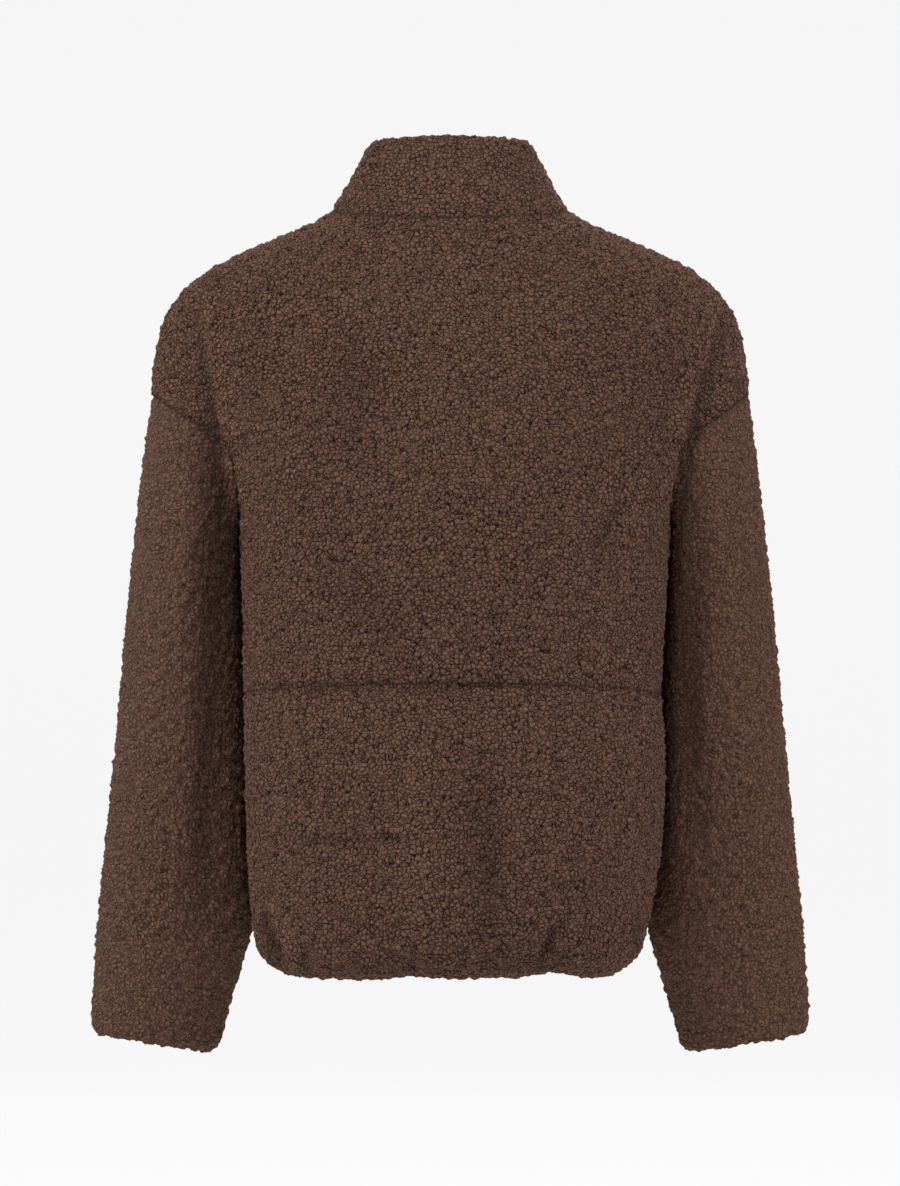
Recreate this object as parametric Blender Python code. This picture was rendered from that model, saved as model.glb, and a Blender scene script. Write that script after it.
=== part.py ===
"""A boucle jacket, held in the shape that a wearer gives it: a standing collar, dropped shoulders,
a back cut in two, two fronts with a full-length zip, and a hem drawn in with soft gathers.

+Z is up, -Y is the front and +X the wearer's left. The origin is the centre of the neck,
level with the collar's seam. All lengths are in metres."""

import math

import bmesh
import bpy
import numpy as np
from mathutils import Matrix, Vector

# The cloth: a looped pile on a knitted ground, measured to the tips of the loops.
CLOTH = 0.0045
COLLAR_CLOTH = 0.0075  # the collar is two layers
ZIP_EDGE_CLOTH = 0.0030
SEAM_GAP = 0.00034  # between two pieces that are sewn together
SEAM_DIP = 0.0013  # how far the stitches pull a seam's edges in
SEAM_BAND = 0.009  # the width of the row of faces beside a seam
SHARED_TURN = math.radians(50)  # a wall's edge leans at most this far towards its neighbour's
ARMPIT_LEAN = math.radians(40)  # how far a wall's edge leans sideways from straight down there

# Finishes: kind, linear colour, roughness, metallic.
BOUCLE = ("boucle", (0.078, 0.044, 0.032), 0.95, 0.0)
WOVEN_TAPE = ("woven_tape", (0.030, 0.020, 0.016), 0.85, 0.0)
DARK_METAL = ("dark_metal", (0.16, 0.13, 0.11), 0.35, 1.0)

# Heights, measured from the neck.
BACK_NECK = -0.0035
FRONT_NECK = -0.072
SIDE_NECK = 0.007
BACK_CHEST = -0.095  # the height in the middle of the row that ends at the sleeve's top
FRONT_CHEST = -0.125
SLEEVE_TOP = -0.148  # where the armhole seam crosses the shoulder seam
FOLD_END = -0.191  # and where it meets the fold between the body and the arm
ARMPIT = -0.265
FOLD_TOP = -0.060  # the fold between the back and the arm starts here
BACK_SEAM = -0.400  # the ends of the seam across the back
BACK_SEAM_RISE = 0.010  # how much higher its middle is
BACK_SEAM_SPREAD = 0.090  # how far above and below the rows rise with it
HEM_TURN = -0.600  # below this the hem is drawn in
HEM_DROP = 0.036
HEM_DRAWN_IN = 0.040
HEM_AT_ZIP = 0.22  # the share of that beside the zip, which holds the hem straight
HEM_ZIP_NEAR = 0.015  # where the zip's hold starts to give way, and where it ends
HEM_ZIP_FAR = 0.125
CUFF = -0.698
CUFF_SLANT = 0.0075  # the cuff's outer side is this much higher than its middle
CUFF_ROLL = 0.0075
CUFF_ROLL_SHARE = 0.022  # the share of the sleeve's length that rolls in at the cuff
ZIP_HALF_GAP = 0.005  # from the middle to each front's edge

# The zip lies just below the cloth's inner side. The two tapes hold the chain between them.
GAP = 0.0003
TAPE = 0.0010
TAPE_EDGE = 0.0120  # the tape's outer edge, from the middle
TAPE_BELOW_TOP = 0.0006
CHAIN_WIDTH = 0.0052
CHAIN = 0.0024
BOX_LENGTH = 0.0100
BOX_DEPTH = 0.0042
CHAIN_ABOVE_BOX = 0.0008
SLIDER_LENGTH = 0.0110
SLIDER_WIDTH = 0.0088
SLIDER_PLATE = 0.0011
SLIDER_BELOW_TOP = 0.0105  # from the collar's top edge to the slider's middle
WEDGE_LENGTH = 0.0036
WEDGE_BELOW_END = 0.0008
WEDGE_WIDTH = 0.0042
BRIDGE_WIDTH = 0.0018
BRIDGE_LEG = 0.0011
BRIDGE_THICKNESS = 0.0010
PULL_BAR = 0.0014  # thickness of the pull tab, and of the bar that turns under the bridge
PULL_WIDTH = 0.0080
PULL_LENGTH = 0.0280
PULL_RIM = 0.0016
PULL_ROOM = 0.0004  # between the bar and the bridge
SLIDER_ROUND = 0.0018  # how round the corners are
WEDGE_ROUND = 0.0008
PULL_ROUND = 0.0012
HOLE_ROUND = 0.0004
STATION_ROOM = 0.0010  # the least distance between two stations along the zip
REACH_INTO = 0.0002  # how far the pieces of one solid reach into each other

# How the surfaces of the body, the shoulder and the arm run into each other.
FOLD_SOFTNESS = 0.014
FOLD_FADE_OUT = 0.020  # the softness fades in over this, from the shoulder's edge
FOLD_FADE_UP = 0.030  # and over this, from the fold's lower end
SIDE_FALL = 4  # the slope of the body's section beyond its widest place
ARM_SLOPE = 0.030  # how far the arm's top reaches into the body, as a slope
EASE_PASSES = 4
EASE_FROM = 0.120  # the surface is eased from this x
EASE_OVER = 0.030  # and fully, this much further out
SLEEVE_CLEARANCE = 0.0016  # between the sleeve and the body that it lies against
CLEAR_AFTER = 0.008  # how far below the seam the sleeve is fully clear
SLEEVE_SOFTNESS = 0.012  # how softly the sleeve flattens against the body
SETTLE = 0.120  # how far below the seam the sleeve has the arm's own section

# The folds start below the neck and run out before a sewn edge.
BACK_CALM = 0.020
FRONT_CALM = 0.090
CALM_OVER = 0.050
BACK_CALM_SIDE = 6  # one share in this many of the back's width, at both ends together
FRONT_CALM_SIDE = 3

# How many faces each stretch gets, and how they crowd together.
HALF_COLUMNS = 14
UNDERARM_ROWS = 4
ARMHOLE_ROWS = 10  # the underarm's and the rest, up to the top of the sleeve
SHOULDER_ROWS = 11
LOWER_ROWS = 7
UPPER_ROWS = 5
HEM_TURN_ANGLES = (24, 48, 70, 90)
SLEEVE_ROWS = 13
COLLAR_ROWS = 5
COLLAR_FIRST_ROW = 0.11  # a share of the collar's height
SLEEVE_FIRST_ROW = 0.055  # shares of the sleeve's length, to the first and the last even ring
SLEEVE_LAST_ROW = 0.92
SHOULDER_CROWDING = 1.5  # how much closer the rows are towards the neck
ARMHOLE_EVENNESS = 0.6  # how much less the columns crowd together where the seam is in full view
ARMHOLE_EVEN_AT = 1.3  # above 1, that is highest past the middle of the seam
HALVINGS = 30
SHARP_EDGE = math.radians(50)


def monotone_slopes(x, y):
    """Slopes at the points of a table that let a cubic pass through them with no overshoot."""
    step = np.diff(x)
    rise = np.diff(y) / step
    slopes = np.zeros(len(x))
    for i in range(1, len(x) - 1):
        if rise[i - 1] * rise[i] > 0:
            before = 2 * step[i] + step[i - 1]
            after = step[i] + 2 * step[i - 1]
            slopes[i] = (before + after) / (before / rise[i - 1] + after / rise[i])
    slopes[0], slopes[-1] = rise[0], rise[-1]
    return slopes


class Table:
    """Sizes at several places, one named column for each, joined by smooth curves."""

    def __init__(self, names, *rows):
        ordered = np.array(sorted(rows))
        self.places = ordered[:, 0]
        self.columns = {
            name: (ordered[:, i], monotone_slopes(self.places, ordered[:, i]))
            for i, name in enumerate(names)
        }

    def at(self, name, where):
        values, slopes = self.columns[name]
        places = self.places
        where = min(max(where, places[0]), places[-1])
        i = min(max(int(np.searchsorted(places, where)) - 1, 0), len(places) - 2)
        step = places[i + 1] - places[i]
        t = (where - places[i]) / step
        return float(
            values[i] * (1 + 2 * t) * (1 - t) ** 2
            + values[i + 1] * t * t * (3 - 2 * t)
            + step * t * (1 - t) * (slopes[i] * (1 - t) - slopes[i + 1] * t)
        )


# The outer line of the shoulder, from the neck to the top of the sleeve.
SHOULDER = Table(
    ("height", "reach", "seam_y"),
    (0.007, 0.1000, 0.0000),
    (-0.005, 0.1170, -0.0005),
    (-0.018, 0.1500, -0.0015),
    (-0.032, 0.1820, -0.0025),
    (-0.048, 0.2120, -0.0035),
    (-0.060, 0.2245, -0.0042),
    (-0.079, 0.2392, -0.0052),
    (-0.095, 0.2449, -0.0060),
    (-0.119, 0.2494, -0.0072),
    (-0.148, 0.2528, -0.0090),
)

# Level sections of the body. Left and right are half widths, and widest_y is where each is reached.
BODY = Table(
    ("height", "left", "right", "widest_y", "back_y", "front_y", "squareness"),
    (0.007, 0.1000, 0.1000, 0.0000, 0.0680, -0.0600, 2.0),
    (-0.012, 0.1350, 0.1350, -0.0010, 0.0730, -0.0670, 2.0),
    (-0.048, 0.2120, 0.2120, -0.0035, 0.0900, -0.0780, 2.1),
    (-0.060, 0.2245, 0.2245, -0.0042, 0.0945, -0.0820, 2.15),
    (-0.078, 0.2270, 0.2300, -0.0045, 0.1000, -0.0890, 2.2),
    (-0.092, 0.2235, 0.2290, -0.0035, 0.1040, -0.0950, 2.3),
    (-0.106, 0.2160, 0.2250, -0.0020, 0.1070, -0.1000, 2.3),
    (-0.142, 0.2030, 0.2150, 0.0060, 0.1120, -0.1090, 2.35),
    (-0.176, 0.1925, 0.2040, 0.0100, 0.1160, -0.1160, 2.4),
    (-0.214, 0.1840, 0.1935, 0.0120, 0.1180, -0.1210, 2.4),
    (-0.257, 0.1770, 0.1860, 0.0130, 0.1190, -0.1240, 2.4),
    (-0.321, 0.1745, 0.1815, 0.0130, 0.1175, -0.1245, 2.4),
    (-0.396, 0.1735, 0.1780, 0.0120, 0.1125, -0.1220, 2.4),
    (-0.455, 0.1725, 0.1810, 0.0115, 0.1175, -0.1220, 2.4),
    (-0.517, 0.1710, 0.1790, 0.0110, 0.1190, -0.1215, 2.4),
    (-0.560, 0.1690, 0.1735, 0.0105, 0.1175, -0.1200, 2.4),
    (-0.600, 0.1655, 0.1650, 0.0100, 0.1130, -0.1170, 2.4),
)

# The collar's top edge, from above and from the side.
COLLAR_HALF_WIDTH = 0.0700
COLLAR_BACK = 0.0480
COLLAR_FRONT = -0.0610
COLLAR_SQUARENESS = 2.15
COLLAR_HOLLOW = 0.0028  # how far the collar's side curves in, half way up
COLLAR_TOP = Table(
    ("y", "height"),
    (-0.0610, 0.0060),
    (-0.0450, 0.0200),
    (-0.0200, 0.0450),
    (0.0000, 0.0585),
    (0.0200, 0.0650),
    (0.0480, 0.0675),
)

# Level sections of a sleeve, and of the arm under the dropped shoulder.
ARM = Table(
    ("height", "outer", "inner", "centre_y", "half_depth"),
    (-0.055, 0.2200, 0.1500, -0.0040, 0.0400),
    (-0.075, 0.2372, 0.1500, -0.0050, 0.0460),
    (-0.100, 0.2462, 0.1560, -0.0062, 0.0500),
    (-0.148, 0.2528, 0.1625, -0.0090, 0.0560),
    (-0.190, 0.2577, 0.1675, -0.0130, 0.0610),
    (-0.257, 0.2652, 0.1705, -0.0240, 0.0700),
    (-0.300, 0.2702, 0.1710, -0.0290, 0.0705),
    (-0.400, 0.2802, 0.1640, -0.0360, 0.0630),
    (-0.520, 0.2922, 0.1560, -0.0460, 0.0530),
    (-0.600, 0.3007, 0.1660, -0.0520, 0.0450),
    (-0.650, 0.3042, 0.1820, -0.0555, 0.0395),
    (-0.706, 0.3077, 0.1965, -0.0580, 0.0340),
)

# The soft folds of the body, as troughs in the cloth: x and height of the middle, how deep, how
# far each reaches across and along, and how far it leans sideways for each metre up.
FOLD_NAMES = ("x", "height", "depth", "across", "along", "lean")
BACK_FOLDS = (
    (0.1935, -0.140, 0.0050, 0.016, 0.045, 0.22),
    (-0.2060, -0.135, 0.0050, 0.016, 0.045, -0.26),
    (0.139, -0.612, 0.0080, 0.011, 0.036, -0.25),
    (0.030, -0.632, 0.0045, 0.014, 0.026, 0.10),
    (-0.083, -0.622, 0.0070, 0.016, 0.042, 0.15),
    (-0.148, -0.606, 0.0065, 0.011, 0.036, 0.30),
    (-0.034, -0.540, 0.0040, 0.030, 0.110, 0.05),
    (0.085, -0.300, 0.0035, 0.045, 0.060, -0.30),
    (0.068, -0.150, 0.0030, 0.030, 0.080, 0.10),
    (-0.110, -0.250, 0.0025, 0.040, 0.070, -0.20),
)
FRONT_FOLDS = (
    (0.134, -0.610, 0.0075, 0.012, 0.038, -0.20),
    (0.088, -0.620, 0.0060, 0.013, 0.034, 0.10),
    (0.045, -0.616, 0.0040, 0.012, 0.030, 0.15),
    (-0.052, -0.618, 0.0045, 0.012, 0.032, -0.12),
    (-0.098, -0.616, 0.0065, 0.014, 0.040, 0.15),
    (-0.141, -0.608, 0.0070, 0.012, 0.036, 0.25),
    (0.105, -0.330, 0.0030, 0.040, 0.080, 0.25),
    (-0.100, -0.270, 0.0030, 0.038, 0.090, -0.20),
    (-0.080, -0.480, 0.0030, 0.034, 0.090, 0.10),
)
# Folds round a sleeve: the angle from its outer side (90 is the back), and sizes in degrees.
SLEEVE_FOLD_NAMES = ("angle", "height", "depth", "degrees", "along", "lean")
LEFT_SLEEVE_FOLDS = (
    (128, -0.300, 0.0050, 24, 0.040, 120),
    (205, -0.395, 0.0050, 34, 0.024, 200),
    (60, -0.415, 0.0030, 40, 0.030, -150),
    (250, -0.330, 0.0045, 28, 0.028, 150),
    (110, -0.560, 0.0030, 30, 0.050, 90),
)
RIGHT_SLEEVE_FOLDS = (
    (120, -0.315, 0.0055, 26, 0.045, 140),
    (198, -0.415, 0.0050, 32, 0.026, -160),
    (70, -0.385, 0.0028, 36, 0.030, 150),
    (262, -0.350, 0.0045, 30, 0.030, -120),
    (95, -0.545, 0.0030, 28, 0.055, -90),
)


def quarter(u):
    """(sine, 1 - cosine) of a share of a quarter turn: it crowds the points towards u = 1."""
    angle = u * math.pi / 2
    return math.sin(angle), 1 - math.cos(angle)


def soft_max(a, b, softness):
    """The larger of two numbers, rounded off where they are nearly equal."""
    if softness <= 0:
        return max(a, b)
    near = max(softness - abs(a - b), 0) / softness
    return max(a, b) + near * near * softness / 4


def half_width(side, height):
    if height > FOLD_TOP:
        return SHOULDER.at("reach", height)
    return BODY.at("left" if side > 0 else "right", height)


def body_depth(face, side, x, height):
    """How far back (face 1) or forward (face -1) the body's own section reaches at x."""
    width = half_width(side, height)
    middle = BODY.at("widest_y", height)
    depth = face * (BODY.at("back_y" if face > 0 else "front_y", height) - middle)
    power = BODY.at("squareness", height)
    if x >= width:
        return face * middle - SIDE_FALL * (x - width)
    return face * middle + depth * (1 - (x / width) ** power) ** (1 / power)


def arm_depth(face, x, height):
    """How far back or forward the arm's top reaches at x, with a soft slope on its inner side."""
    outer, inner = ARM.at("outer", height), ARM.at("inner", height) - ARM_SLOPE
    share = (x - (outer + inner) / 2) / ((outer - inner) / 2)
    fullness = 1 - share * share
    if share > 0:
        fullness = math.sqrt(max(0, fullness))
    return face * ARM.at("centre_y", height) + ARM.at("half_depth", height) * fullness


def surface_y(face, side, x, height):
    """The cloth's place over the body and the top of the arm, as one surface with a soft fold."""
    own = body_depth(face, side, x, height)
    if height > FOLD_TOP or height < FOLD_END:
        return face * own
    to_edge = (SHOULDER.at("reach", height) - x) / FOLD_FADE_OUT
    room = min(to_edge, (height - FOLD_END) / FOLD_FADE_UP, 1)
    return face * soft_max(own, arm_depth(face, x, height), FOLD_SOFTNESS * max(room, 0))


def body_edge(side, y, height):
    """How far out sideways the body's own section reaches at y."""
    middle = BODY.at("widest_y", height)
    reach = BODY.at("back_y" if y > middle else "front_y", height) - middle
    power = BODY.at("squareness", height)
    share = min((y - middle) / reach, 1)
    return half_width(side, height) * (1 - share**power) ** (1 / power)


def fold_bottom(face, side):
    """Where the fold between the body and the arm meets the armhole seam."""
    low, high = ARM.at("inner", FOLD_END) - ARM_SLOPE, half_width(side, FOLD_END)
    for _ in range(HALVINGS):
        x = (low + high) / 2
        if body_depth(face, side, x, FOLD_END) > arm_depth(face, x, FOLD_END):
            low = x
        else:
            high = x
    return Vector((x, face * body_depth(face, side, x, FOLD_END), FOLD_END))


def armhole(face, side, row):
    """A point of the armhole seam: row 0 is the armpit, ARMHOLE_ROWS the top of the sleeve."""
    fold = fold_bottom(face, side)
    if row <= UNDERARM_ROWS:
        out, up = quarter(row / UNDERARM_ROWS)
        height = ARMPIT + (FOLD_END - ARMPIT) * up
        middle = BODY.at("widest_y", ARMPIT)
        y = middle + (fold.y - middle) * out
        return Vector((body_edge(side, y, height), y, height))
    share = (row - UNDERARM_ROWS) / (ARMHOLE_ROWS - UNDERARM_ROWS)
    out = (share + quarter(share)[0]) / 2
    top = SHOULDER.at("reach", SLEEVE_TOP)
    height = FOLD_END + (SLEEVE_TOP - FOLD_END) * out
    x = fold.x + (top - fold.x) * out
    y = SHOULDER.at("seam_y", SLEEVE_TOP) if out == 1 else surface_y(face, side, x, height)
    return Vector((x, y, height))


def seam_rise(face, height):
    """How much higher a row is in the middle of the back, because the seam there is bowed."""
    away = (height - BACK_SEAM) / BACK_SEAM_SPREAD
    return BACK_SEAM_RISE * math.exp(-away * away) if face > 0 else 0


def body_rows(face, side):
    """The rows of the body's grid, from the hem's turn up.

    Each row is its end point, its height at the middle, and how much its points crowd together
    towards the end, where the cloth turns away out of sight."""
    rows = []
    below = np.linspace(HEM_TURN, BACK_SEAM - SEAM_BAND, LOWER_ROWS)
    above = np.linspace(BACK_SEAM + SEAM_BAND, ARMPIT, UPPER_ROWS)[:-1]
    for height in (*below, BACK_SEAM, *above):
        end = Vector((half_width(side, height), BODY.at("widest_y", height), height))
        rows.append((end, height + seam_rise(face, height), 1))
    chest, neck = (BACK_CHEST, BACK_NECK) if face > 0 else (FRONT_CHEST, FRONT_NECK)
    for i in range(ARMHOLE_ROWS):
        middle = ARMPIT + (chest - ARMPIT) * i / ARMHOLE_ROWS
        along = (i / ARMHOLE_ROWS) ** ARMHOLE_EVEN_AT
        crowding = 1 - ARMHOLE_EVENNESS * math.sin(math.pi * along)
        rows.append((armhole(face, side, i), middle, crowding))
    for i in range(SHOULDER_ROWS + 1):
        share = i / SHOULDER_ROWS
        up = 1 - (1 - share) ** SHOULDER_CROWDING
        height = SLEEVE_TOP + (SIDE_NECK - SLEEVE_TOP) * up
        end = Vector((SHOULDER.at("reach", height), SHOULDER.at("seam_y", height), height))
        rows.append((end, chest + (neck - chest) * share, 1))
    return rows


def row_points(face, side, start, end, middle, crowding):
    """One row of the body's grid, from x = start at the middle to its end point."""
    points = []
    for j in range(HALF_COLUMNS):
        share = j / HALF_COLUMNS
        across, lift = quarter(share)
        across = share + (across - share) * crowding
        x = start + (end.x - start) * across
        height = middle + (end.z - middle) * lift
        points.append(Vector((side * x, surface_y(face, side, x, height), height)))
    return [*points, Vector((side * end.x, end.y, end.z))]


def outward_along(points, j):
    """The level direction that faces out of the body, at a point of a level row."""
    if j == len(points) - 1:
        return Vector((math.copysign(1, points[j].x), 0, 0))
    along = (points[j + 1] - points[max(j - 1, 0)]).normalized()
    outward = Vector((along.y, -along.x, 0))
    return outward if outward.dot(points[j]) > outward.z * points[j].z else -outward


def hem_turn(face, points):
    """The rows below the hem's turn, where the cloth is drawn in and under."""
    rows = []
    for degrees in HEM_TURN_ANGLES:
        angle = math.radians(degrees)
        row = []
        for j, point in enumerate(points):
            drawn = HEM_DRAWN_IN
            if face < 0:
                share = (abs(point.x) - HEM_ZIP_NEAR) / (HEM_ZIP_FAR - HEM_ZIP_NEAR)
                share = min(max(share, 0), 1)
                drawn *= HEM_AT_ZIP + (1 - HEM_AT_ZIP) * share * share * (3 - 2 * share)
            inward = outward_along(points, j) * drawn * (1 - math.cos(angle))
            row.append(point - inward - Vector((0, 0, HEM_DROP * math.sin(angle))))
        rows.insert(0, row)
    return rows


def ease(rows, first, last):
    """Evens out the surface beside the armhole, from one row to another, forward and back only."""
    for _ in range(EASE_PASSES):
        before = [[point.y for point in row] for row in rows]
        for i in range(first, last):
            for j in range(1, HALF_COLUMNS):
                share = min(max((abs(rows[i][j].x) - EASE_FROM) / EASE_OVER, 0), 1)
                beside = before[i][j - 1] + before[i][j + 1]
                mean = (beside + before[i - 1][j] + before[i + 1][j]) / 4
                rows[i][j].y += share * (mean - before[i][j]) / 2


def half_body(face, side):
    """All rows of half the back or of one front, from the hem's edge to the neck."""
    start = 0 if face > 0 else ZIP_HALF_GAP
    rows = [row_points(face, side, start, *row) for row in body_rows(face, side)]
    armpit = len(rows) - 1 - SHOULDER_ROWS - ARMHOLE_ROWS
    ease(rows, armpit + 1, armpit + ARMHOLE_ROWS + SHOULDER_ROWS // 2)
    return hem_turn(face, rows[0]) + rows


def arm_point(angle, height):
    outer, inner = ARM.at("outer", height), ARM.at("inner", height)
    x = (outer + inner) / 2 + (outer - inner) / 2 * math.cos(angle)
    y = ARM.at("centre_y", height) + ARM.at("half_depth", height) * math.sin(angle)
    return Vector((x, y, height))


def arm_angle(point):
    """The direction of a point from the middle of the arm, in the oval's own proportions."""
    outer, inner = ARM.at("outer", point.z), ARM.at("inner", point.z)
    across = (point.x - (outer + inner) / 2) / ((outer - inner) / 2)
    back = (point.y - ARM.at("centre_y", point.z)) / ARM.at("half_depth", point.z)
    return math.atan2(back, across) % (2 * math.pi)


def sleeve_loop(side):
    """The armhole seam, each point with its angle round the sleeve: armpit, front, top, back."""
    turn = math.pi / ARMHOLE_ROWS
    loop = [(armhole(-1, side, i), math.pi + turn * i) for i in range(ARMHOLE_ROWS)]
    loop += [(armhole(1, side, i), math.pi - turn * i) for i in range(ARMHOLE_ROWS, 0, -1)]
    return loop


def sleeve_point(side, seam, angle, share):
    """A point on the line down the sleeve from a point of the seam: share 1 is the cuff."""
    height = seam.z + (CUFF + CUFF_SLANT * math.cos(angle) - seam.z) * share
    below = seam.z - height
    settled = min(below / SETTLE, 1)
    start = arm_angle(seam) if angle else 0
    angle = start + (angle - start) * settled * (2 - settled)
    drift = seam - arm_point(start, seam.z)
    point = arm_point(angle, height) + Vector((drift.x, drift.y, 0)) * (1 - settled) ** 2
    if share > 0 and height < FOLD_END:
        edge = body_edge(side, point.y, max(height, HEM_TURN))
        edge += SLEEVE_CLEARANCE * min(below / CLEAR_AFTER, 1)
        point.x = soft_max(point.x, edge, min(below, SLEEVE_SOFTNESS))
    rolled = max(0, (share - 1 + CUFF_ROLL_SHARE) / CUFF_ROLL_SHARE)
    middle = (arm_point(0, height) + arm_point(math.pi, height)) / 2
    return point + (middle - point).normalized() * CUFF_ROLL * rolled * rolled


def sleeve_rows(side):
    """The rings of a sleeve, from the cuff up to the armhole seam."""
    first = SEAM_BAND / (SLEEVE_TOP - CUFF)
    shares = [0, first, *np.linspace(SLEEVE_FIRST_ROW, SLEEVE_LAST_ROW, SLEEVE_ROWS)]
    shares += [1 - CUFF_ROLL_SHARE, 1 - CUFF_ROLL_SHARE / 2, 1]
    rows = []
    for share in reversed(shares):
        ring = [sleeve_point(side, seam, angle, share) for seam, angle in sleeve_loop(side)]
        rows.append([Vector((side * point.x, point.y, point.z)) for point in ring])
    return rows


def collar_top(side, face, share):
    """A point of the collar's top edge: share 0 is its middle, 1 the side of the neck."""
    start, side_y = (0, COLLAR_BACK) if face > 0 else (ZIP_HALF_GAP, COLLAR_FRONT)
    x = start + (COLLAR_HALF_WIDTH - start) * quarter(share)[0]
    fullness = max(0, 1 - (x / COLLAR_HALF_WIDTH) ** COLLAR_SQUARENESS)
    y = side_y * fullness ** (1 / COLLAR_SQUARENESS)
    return Vector((side * x, y, COLLAR_TOP.at("height", y)))


def collar_rows(neckline):
    """The collar's rows, from the neck seam up. The neckline holds (point, side, face, share)."""
    rows = []
    for share in (0, COLLAR_FIRST_ROW, *np.linspace(0, 1, COLLAR_ROWS)[1:]):
        row = []
        for seam, side, face, along in neckline:
            inward = Vector((-seam.x, -seam.y, 0)).normalized()
            hollow = inward * COLLAR_HOLLOW * math.sin(math.pi * share)
            row.append(seam.lerp(collar_top(side, face, along), share) + hollow)
        rows.append(row)
    return rows


def fold_depth(folds, x, height):
    """How deep the folds are at a place on the back or a front."""
    total = 0
    for row in folds:
        fold = dict(zip(FOLD_NAMES, row))
        up = height - fold["height"]
        across = (x - fold["x"] - fold["lean"] * up) / fold["across"]
        total += fold["depth"] * math.exp(-across * across - (up / fold["along"]) ** 2)
    return total


def sleeve_fold_depth(folds, angle, height):
    total = 0
    for row in folds:
        fold = dict(zip(SLEEVE_FOLD_NAMES, row))
        up = height - fold["height"]
        turn = (angle - fold["angle"] - fold["lean"] * up + 180) % 360 - 180
        along = up / fold["along"]
        total += fold["depth"] * math.exp(-((turn / fold["degrees"]) ** 2) - along * along)
    return total


class Panel:
    """A piece of cloth as a grid of points on its outer side, rows up and columns anticlockwise."""

    def __init__(self, rows, seams=(), closed=False, folds=None, thickness=None):
        self.rows = rows
        self.seams = seams  # the edges that are sewn: "bottom", "top", "first", "last"
        self.closed = closed
        self.folds = folds  # how deep the folds are at (row, column), or None
        self.thickness = thickness or (lambda i, j: CLOTH)

    def grid(self):
        return range(len(self.rows)), range(len(self.rows[0]))

    def column_after(self, j):
        return (j + 1) % len(self.rows[0]) if self.closed else j + 1

    def cells(self):
        """The corners of each face, anticlockwise as seen from outside."""
        rows, columns = self.grid()
        for i in rows[:-1]:
            for j in columns if self.closed else columns[:-1]:
                after = self.column_after(j)
                yield (i, j), (i, after), (i + 1, after), (i + 1, j)


def place(point):
    """A key that two pieces share where their points meet."""
    return tuple(round(value, 6) for value in point)


def add_normals(panel, sums):
    for corners in panel.cells():
        a, b, c, d = (panel.rows[i][j] for i, j in corners)
        face = (c - a).cross(d - b)
        for point in (a, b, c, d):
            sums[place(point)] = sums.get(place(point), Vector()) + face


def shared_normals(panels, armpits):
    """Outward directions at every point, averaged over all the pieces that meet there."""
    sums = {}
    for panel in panels.values():
        add_normals(panel, sums)
    for side in armpits:  # the body and the sleeve fold back on each other here
        sums[armpit_place(side)] = Vector((0, 0, -1))
    return {key: total.normalized() for key, total in sums.items()}


def armpit_place(side):
    armpit = armhole(1, side, 0)
    return place((side * armpit.x, armpit.y, armpit.z))


def own_normals(panel, shared):
    """A panel's outward directions: its own, turned at most a set angle to the shared ones."""
    sums = {}
    add_normals(panel, sums)
    found = {}
    for key, total in sums.items():
        own, common = total.normalized(), shared[key]
        turn = own.angle(common)
        if turn > SHARED_TURN:
            axis = own.cross(common).normalized()
            common = Matrix.Rotation(SHARED_TURN, 3, axis) @ own
        found[key] = common
    for side in (1, -1):
        if armpit_place(side) in found:
            lean = -ARMPIT_LEAN if panel.closed else ARMPIT_LEAN
            found[armpit_place(side)] = Vector((side * math.sin(lean), 0, -math.cos(lean)))
    return found


def press_folds(panels):
    normals = shared_normals(panels, (1, -1))
    for panel in panels.values():
        if panel.folds is None:
            continue
        rows, columns = panel.grid()
        panel.rows = [
            [
                panel.rows[i][j] - normals[place(panel.rows[i][j])] * panel.folds(i, j)
                for j in columns
            ]
            for i in rows
        ]


def edge_shift(panel, normals, i, j):
    """The small step that takes a sewn edge back from its seam."""
    rows, columns = len(panel.rows), len(panel.rows[0])
    point = panel.rows[i][j]
    shift = Vector()
    edges = (
        ("bottom", i == 0, (0, 1), (1, 0)),
        ("top", i == rows - 1, (0, 1), (-1, 0)),
        ("first", j == 0 and not panel.closed, (1, 0), (0, 1)),
        ("last", j == columns - 1 and not panel.closed, (1, 0), (0, -1)),
    )
    for name, on_edge, along, inward in edges:
        if name not in panel.seams or not on_edge:
            continue

        def neighbour(step, sign):
            row = min(max(i + sign * step[0], 0), rows - 1)
            column = j + sign * step[1]
            if panel.closed:
                return panel.rows[row][column % columns]
            return panel.rows[row][min(max(column, 0), columns - 1)]

        tangent = neighbour(along, 1) - neighbour(along, -1)
        across = tangent.cross(normals[place(point)]).normalized()
        if across.dot(neighbour(inward, 1) - point) < 0:
            across = -across
        shift += across * SEAM_GAP / 2
    return shift


def on_seam(panel, i, j):
    rows, columns = len(panel.rows), len(panel.rows[0])
    touched = {
        "bottom": i == 0,
        "top": i == rows - 1,
        "first": j == 0 and not panel.closed,
        "last": j == columns - 1 and not panel.closed,
    }
    return any(touched[name] for name in panel.seams)


def wall_points(panel, normals):
    """The outer and inner points of a panel's wall, as two grids."""
    rows, columns = panel.grid()
    own = own_normals(panel, normals)
    outer, inner = [], []
    for i in rows:
        outer.append([])
        inner.append([])
        for j in columns:
            key = place(panel.rows[i][j])
            point = panel.rows[i][j] + edge_shift(panel, own, i, j)
            dip = SEAM_DIP if on_seam(panel, i, j) else 0
            outer[-1].append(point - normals[key] * dip)
            inner[-1].append(point - own[key] * panel.thickness(i, j))
    return outer, inner


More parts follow.
